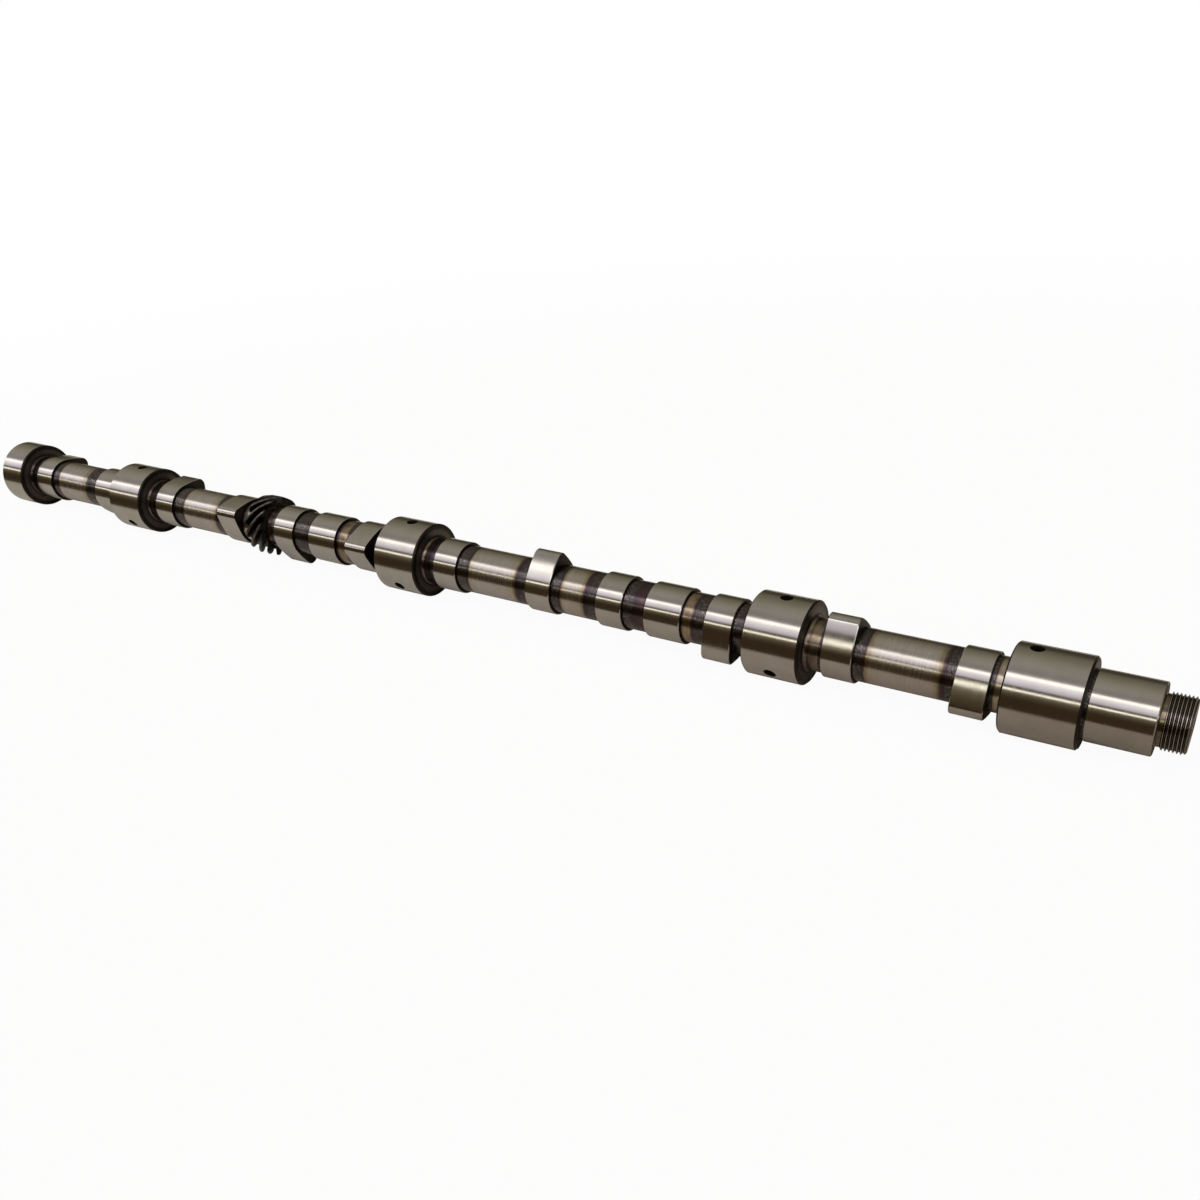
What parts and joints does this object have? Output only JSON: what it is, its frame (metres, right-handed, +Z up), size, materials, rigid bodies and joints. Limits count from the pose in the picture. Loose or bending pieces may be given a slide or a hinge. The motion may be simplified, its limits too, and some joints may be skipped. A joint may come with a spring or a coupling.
{
  "type": "camshaft",
  "caption": "Steel camshaft for an in-line engine: ground journals and valve lobes on one shaft, with a helical drive gear, a gear seat and a threaded drive end.",
  "frame": {"origin": "on the shaft's axis, in the middle of the front bearing journal", "axes": "+X along the shaft's axis towards the threaded drive end, +Z up as the shaft lies, +Y away from the side that the picture shows"},
  "size_m": [1.0145, 0.0548, 0.055],
  "materials": {
    "steel": "ground journals and lobes, dark forged and heat-tinted shaft between them"
  },
  "bodies": {
    "root": {"camshaft": "steel"}
  },
  "joints": []
}
